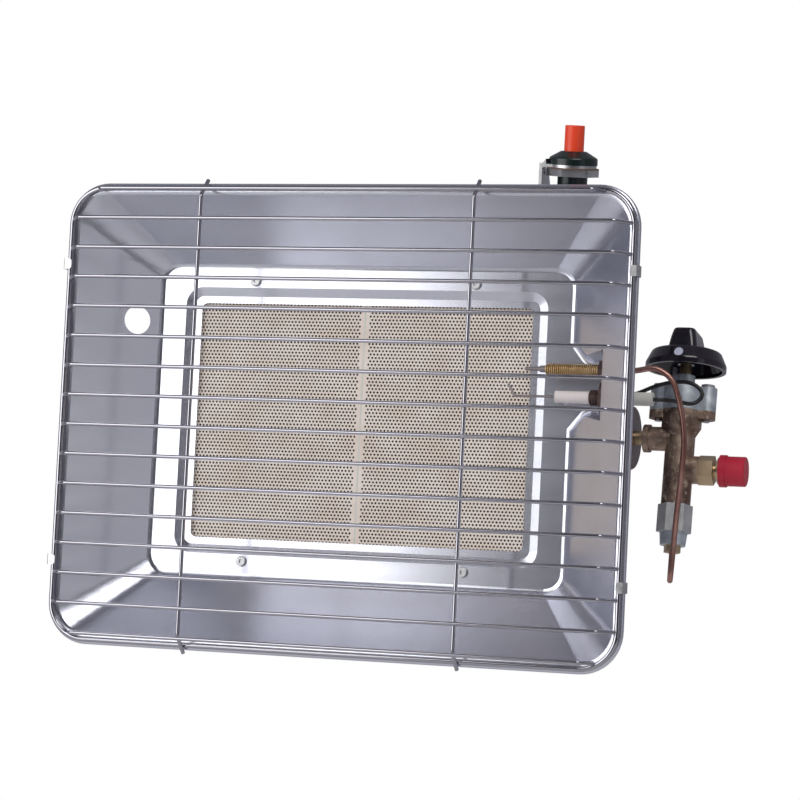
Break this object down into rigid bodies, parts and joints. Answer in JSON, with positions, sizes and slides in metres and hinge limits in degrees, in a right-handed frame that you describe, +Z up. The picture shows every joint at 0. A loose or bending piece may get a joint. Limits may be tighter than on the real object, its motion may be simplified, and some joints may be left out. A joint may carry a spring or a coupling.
{
  "type": "portable radiant gas heater",
  "caption": "Portable radiant gas heater head: rectangular bright reflector dish with ceramic burner tiles behind a wire guard, side gas valve with knob, push igniter and tilting post holder.",
  "frame": {"origin": "centre of the post holder's open lower end, on the axis of its bore", "axes": "+Z up along the post holder's bore, -Y towards what is heated (out of the reflector), +X towards the gas valve"},
  "size_m": [0.3447, 0.1525, 0.2703],
  "materials": {
    "bright_sheet": "bright rolled sheet with a fine drawn grain and soft reflections",
    "plain_sheet": "plain aluminised sheet, dull",
    "tile_ceramic": "unglazed cream ceramic, perforated",
    "fibre_seal": "pale ceramic fibre, matt",
    "zinc_steel": "zinc plated steel, satin",
    "dark_steel": "dark brown oxide, satin",
    "guard_chrome": "bright plated wire",
    "brass": "tarnished cast brass",
    "bright_brass": "turned brass, bright",
    "copper": "drawn copper tube, lightly browned",
    "probe_steel": "heat-resistant steel, satin",
    "white_glaze": "white glazed insulator",
    "cream_boot": "cream insulating boot",
    "lead_sheath": "black lead sheath, slight sheen",
    "igniter_black": "glossy green-black moulding",
    "red_gloss": "glossy orange-red moulding",
    "spring_steel": "bright spring wire",
    "brown_fibre": "brown fibre washer",
    "cast_zinc": "grey zinc casting, satin",
    "hex_aluminium": "light machined metal",
    "knob_black": "glossy black phenolic moulding",
    "cap_red": "crimson soft plastic"
  },
  "bodies": {
    "holder": {"post_socket": "zinc_steel"},
    "clamp": {"clamp_screw": "zinc_steel"},
    "wing": {"wing_nut": "zinc_steel"},
    "plug": {"valve_plug": "bright_brass"},
    "knob": {"knob": "knob_black", "spindle": "bright_brass", "spindle_spring": "spring_steel"},
    "button": {"piezo_button": "red_gloss"},
    "cap": {"inlet_cap": "cap_red"},
    "head": {"reflector": "bright_sheet", "burner_box": "plain_sheet", "burner_tile_left": "tile_ceramic", "burner_tile_right": "tile_ceramic", "tile_gasket": "fibre_seal", "tile_support": "plain_sheet", "burner_screws": "zinc_steel", "guard_frame": "guard_chrome", "guard_rods": "guard_chrome", "guard_uprights": "guard_chrome", "guard_clips": "zinc_steel", "thermocouple_sleeve": "brass", "thermocouple_tip": "probe_steel", "thermocouple_nuts": "dark_steel", "capillary": "copper", "capillary_nut": "bright_brass", "electrode_ceramic": "white_glaze", "electrode_wire": "probe_steel", "electrode_plate": "dark_steel", "electrode_rivets": "zinc_steel", "electrode_boot": "cream_boot", "ignition_lead": "lead_sheath", "piezo_body": "igniter_black", "piezo_spring": "spring_steel", "piezo_bracket": "zinc_steel", "piezo_bracket_screws": "zinc_steel", "piezo_washer": "brown_fibre", "piezo_nut": "zinc_steel", "piezo_terminal": "bright_brass", "valve_body": "brass", "valve_cap": "cast_zinc", "valve_cap_screws": "zinc_steel", "magnet_nut": "hex_aluminium", "magnet_unit": "cast_zinc", "inlet_fitting": "bright_brass", "air_cup": "dark_steel", "mixing_tube": "plain_sheet", "injector": "bright_brass", "back_bracket": "zinc_steel", "bracket_rivets": "zinc_steel", "tilt_bolt": "zinc_steel"}
  },
  "joints": [
    {"name": "head_tilt", "type": "hinge", "parent": "holder", "child": "head", "pos_m": [0, 0, 0.092], "axis": [-1, 0, 0], "range_deg": [-8, 35]},
    {"name": "wing_nut_turn", "type": "hinge", "parent": "head", "child": "wing", "pos_m": [0, 0, 0.092], "axis": [1, 0, 0], "continuous": true},
    {"name": "clamp_screw_turn", "type": "hinge", "parent": "holder", "child": "clamp", "pos_m": [0, 0, 0.02], "axis": [0, 1, 0], "continuous": true},
    {"name": "valve_turn", "type": "hinge", "parent": "head", "child": "plug", "pos_m": [0.16, -0.046, 0.0911], "axis": [0, 0.1478, 0.989], "range_deg": [0, 180]},
    {"name": "knob_push", "type": "slide", "parent": "plug", "child": "knob", "axis": [0, -0.1478, -0.989], "range_m": [0, 0.004], "stiffness_N_per_m": 800, "springref_m": -0.002, "deforming": ["spindle_spring"]},
    {"name": "igniter_push", "type": "slide", "parent": "head", "child": "button", "axis": [-0.0533, 0.1736, -0.9834], "range_m": [0, 0.006], "stiffness_N_per_m": 600, "springref_m": -0.002, "deforming": ["piezo_spring"]},
    {"name": "inlet_cap_pull", "type": "slide", "parent": "head", "child": "cap", "axis": [1, 0, 0], "range_m": [0, 0.014]}
  ]
}
